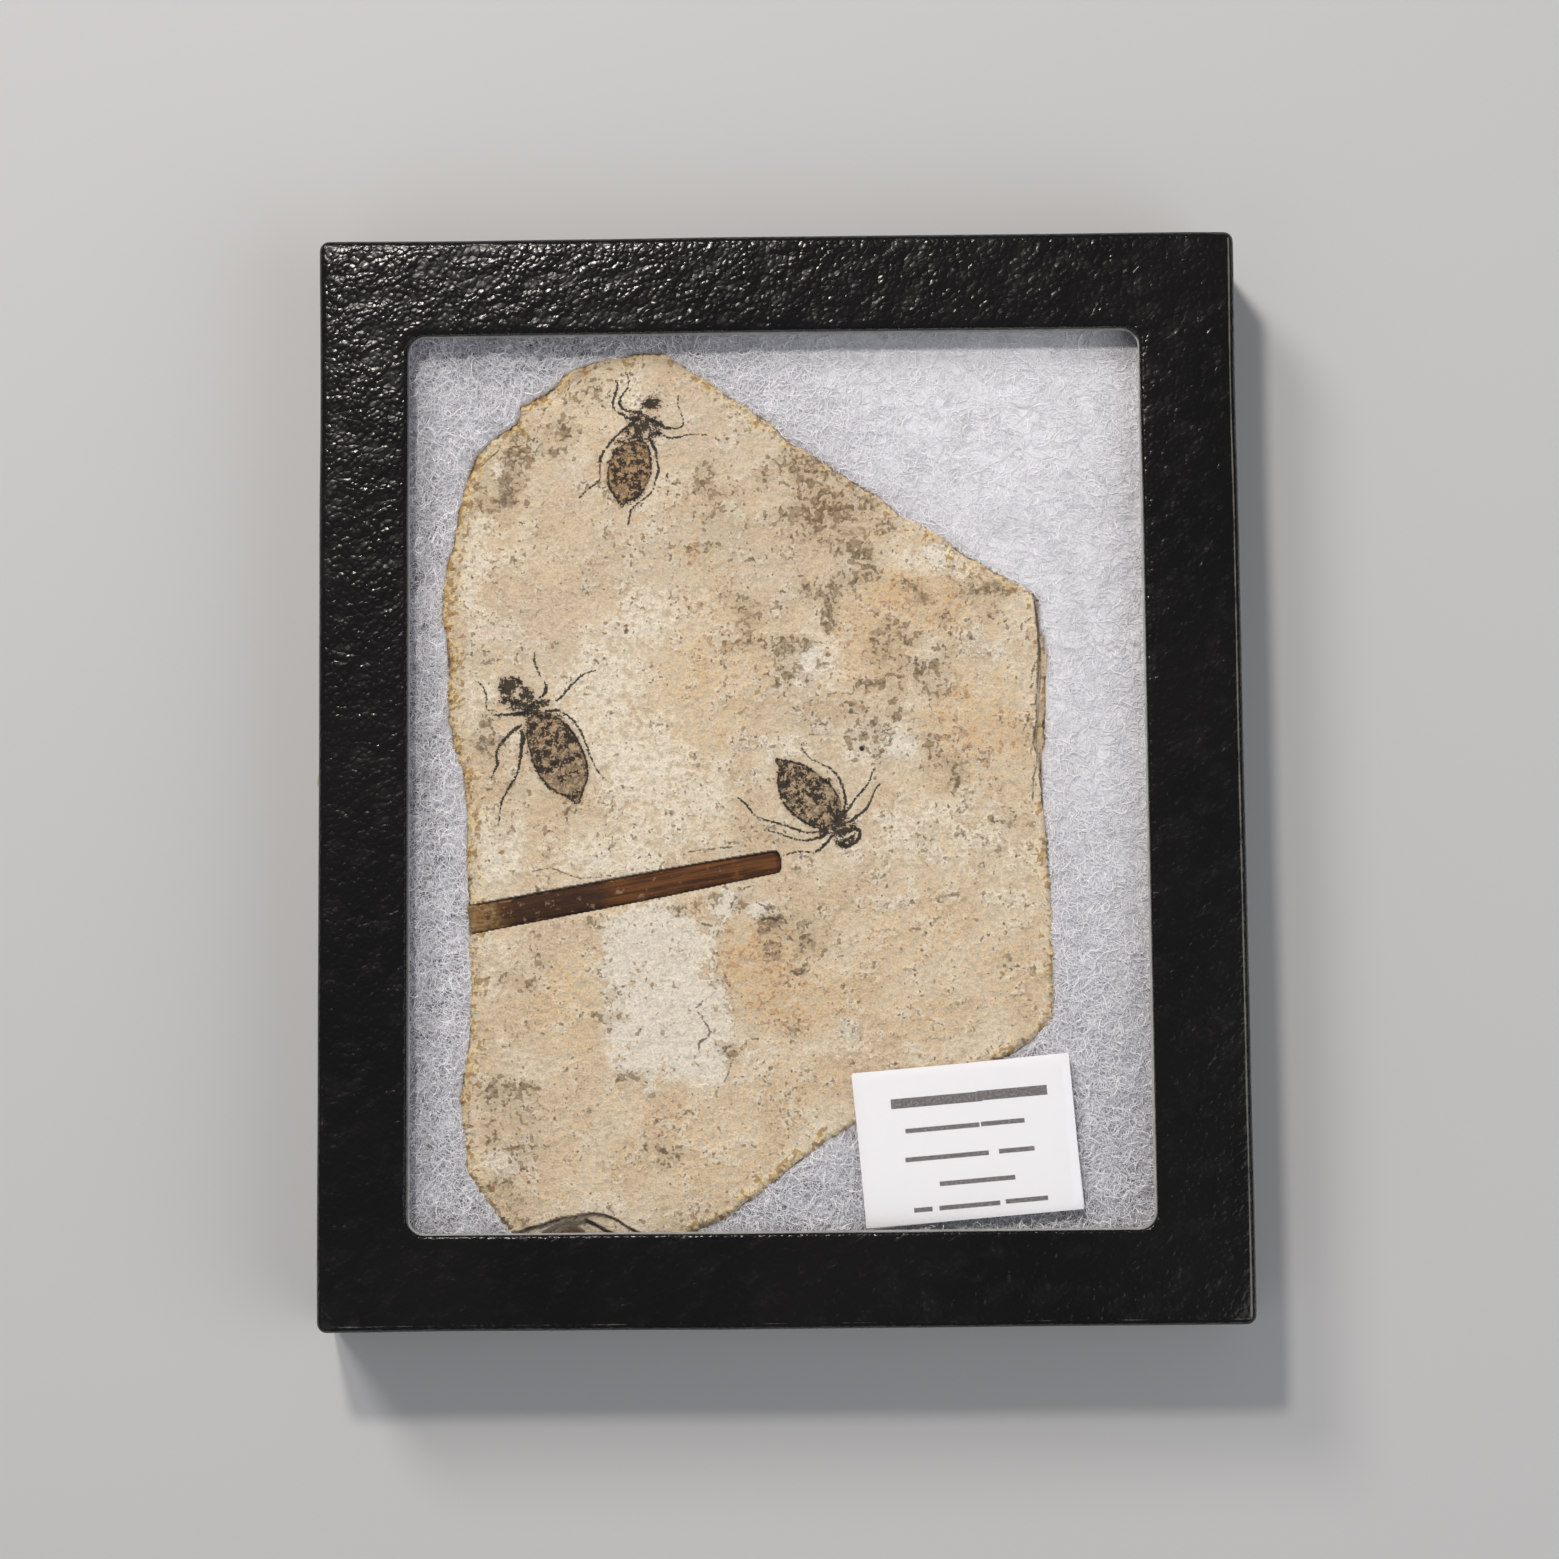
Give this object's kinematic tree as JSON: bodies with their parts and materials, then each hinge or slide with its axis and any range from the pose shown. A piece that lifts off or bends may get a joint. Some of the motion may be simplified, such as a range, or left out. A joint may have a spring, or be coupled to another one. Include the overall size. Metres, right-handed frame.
{
  "type": "fossil dragonfly larva plate in a display case",
  "caption": "Limestone plate with flattened fossil dragonfly larvae and a fossil reed, pressed into white fibre fill in a shallow black case with a glass window, lying on its back.",
  "frame": {"origin": "middle of the case's flat back, which it lies on", "axes": "+Z out through the glass, +Y towards the head of the case, +X to the right as the plate is read"},
  "size_m": [0.1411, 0.166, 0.019],
  "materials": {
    "leathercloth_board": "black leather-grained paper over board",
    "paper_board": "black paper over board",
    "window_glass": "clear",
    "fibre_fill": "white polyester fibre fill",
    "limestone": "matt, split along its bedding",
    "reed_stone": "satin brown",
    "card": "matt white",
    "pin_brass": "polished"
  },
  "bodies": {
    "root": {"lid": "leathercloth_board", "tray": "paper_board", "glass_pane": "window_glass", "fibre_pad": "fibre_fill", "fossil_plate": "limestone", "fossil_reed": "reed_stone", "name_card": "card", "closing_pin": "pin_brass"}
  },
  "joints": []
}
